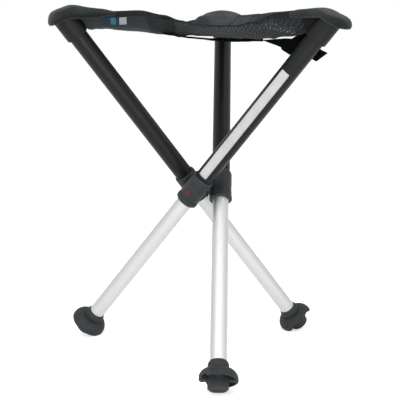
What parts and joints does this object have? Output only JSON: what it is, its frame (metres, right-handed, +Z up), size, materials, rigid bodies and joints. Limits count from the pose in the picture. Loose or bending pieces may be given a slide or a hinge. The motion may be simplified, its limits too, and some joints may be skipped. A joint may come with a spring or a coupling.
{
  "type": "folding stool",
  "caption": "Folding stool with a slack cloth sling on crossed telescopic legs, which turn on a central hub and lock with red release buttons above bell-shaped rubber feet.",
  "frame": {"origin": "on the floor, under the middle of the stool's bounding box", "axes": "+Z up, -Y towards the viewer of the picture, +X to the viewer's right"},
  "size_m": [0.358, 0.3954, 0.459],
  "materials": {
    "black_tube": "satin black coating",
    "silver_tube": "satin anodised",
    "housing_plastic": "fine moulded texture",
    "sleeve_plastic": "moulded",
    "bush_plastic": "moulded",
    "red_button": "glossy",
    "spring_steel": "bright",
    "screw_steel": "bright",
    "hub_metal": "dark coating",
    "rubber": "moulded",
    "cloth": "woven with a net middle",
    "webbing": "woven webbing"
  },
  "bodies": {
    "hub": {"hub_spider": "hub_metal", "pivot_screws": "screw_steel", "seat_sling": "cloth"},
    "leg_a": {"upper_tube_a": "black_tube", "joint_housing_a": "housing_plastic", "top_sleeve_a": "sleeve_plastic", "end_plug_a": "sleeve_plastic", "corner_pocket_a": "cloth"},
    "lower_a": {"lower_tube_a": "silver_tube", "glide_bush_a": "bush_plastic", "snap_catch_a": "spring_steel", "foot_a": "rubber"},
    "button_a": {"release_button_a": "red_button"},
    "leg_b": {"upper_tube_b": "black_tube", "joint_housing_b": "housing_plastic", "top_sleeve_b": "sleeve_plastic", "end_plug_b": "sleeve_plastic", "corner_pocket_b": "cloth", "closure_strap": "webbing"},
    "lower_b": {"lower_tube_b": "silver_tube", "glide_bush_b": "bush_plastic", "snap_catch_b": "spring_steel", "foot_b": "rubber"},
    "button_b": {"release_button_b": "red_button"},
    "leg_c": {"upper_tube_c": "black_tube", "joint_housing_c": "housing_plastic", "top_sleeve_c": "sleeve_plastic", "end_plug_c": "sleeve_plastic", "corner_pocket_c": "cloth"},
    "lower_c": {"lower_tube_c": "silver_tube", "glide_bush_c": "bush_plastic", "snap_catch_c": "spring_steel", "foot_c": "rubber"},
    "button_c": {"release_button_c": "red_button"}
  },
  "joints": [
    {"name": "fold_a", "type": "hinge", "parent": "hub", "child": "leg_a", "pos_m": [0.012, -0.005, 0.22146], "axis": [-0.5, 0.866, 0], "range_deg": [0, 40], "deforming": ["seat_sling"]},
    {"name": "telescope_a", "type": "slide", "parent": "leg_a", "child": "lower_a", "axis": [-0.5567, -0.3214, 0.766], "range_m": [0, 0.218], "deforming": ["snap_catch_a"]},
    {"name": "press_a", "type": "slide", "parent": "leg_a", "child": "button_a", "axis": [0.5, -0.866, 0], "range_m": [0, 0.00125], "stiffness_N_per_m": 600, "springref_m": -0.002, "deforming": ["snap_catch_a"]},
    {"name": "fold_b", "type": "hinge", "parent": "hub", "child": "leg_b", "pos_m": [0.012, -0.005, 0.22146], "axis": [-0.5, -0.866, 0], "range_deg": [0, 40], "deforming": ["seat_sling"]},
    {"name": "telescope_b", "type": "slide", "parent": "leg_b", "child": "lower_b", "axis": [0.5567, -0.3214, 0.766], "range_m": [0, 0.218], "deforming": ["snap_catch_b"]},
    {"name": "press_b", "type": "slide", "parent": "leg_b", "child": "button_b", "axis": [0.5, 0.866, 0], "range_m": [0, 0.00125], "stiffness_N_per_m": 600, "springref_m": -0.002, "deforming": ["snap_catch_b"]},
    {"name": "fold_c", "type": "hinge", "parent": "hub", "child": "leg_c", "pos_m": [0.012, -0.005, 0.22146], "axis": [1, 0, 0], "range_deg": [0, 40], "deforming": ["seat_sling"]},
    {"name": "telescope_c", "type": "slide", "parent": "leg_c", "child": "lower_c", "axis": [0, 0.6428, 0.766], "range_m": [0, 0.218], "deforming": ["snap_catch_c"]},
    {"name": "press_c", "type": "slide", "parent": "leg_c", "child": "button_c", "axis": [-1, 0, 0], "range_m": [0, 0.00125], "stiffness_N_per_m": 600, "springref_m": -0.002, "deforming": ["snap_catch_c"]}
  ],
  "couplings": [
    {"joint": "fold_b", "follows": "fold_a", "ratio": 1},
    {"joint": "fold_c", "follows": "fold_a", "ratio": 1}
  ]
}
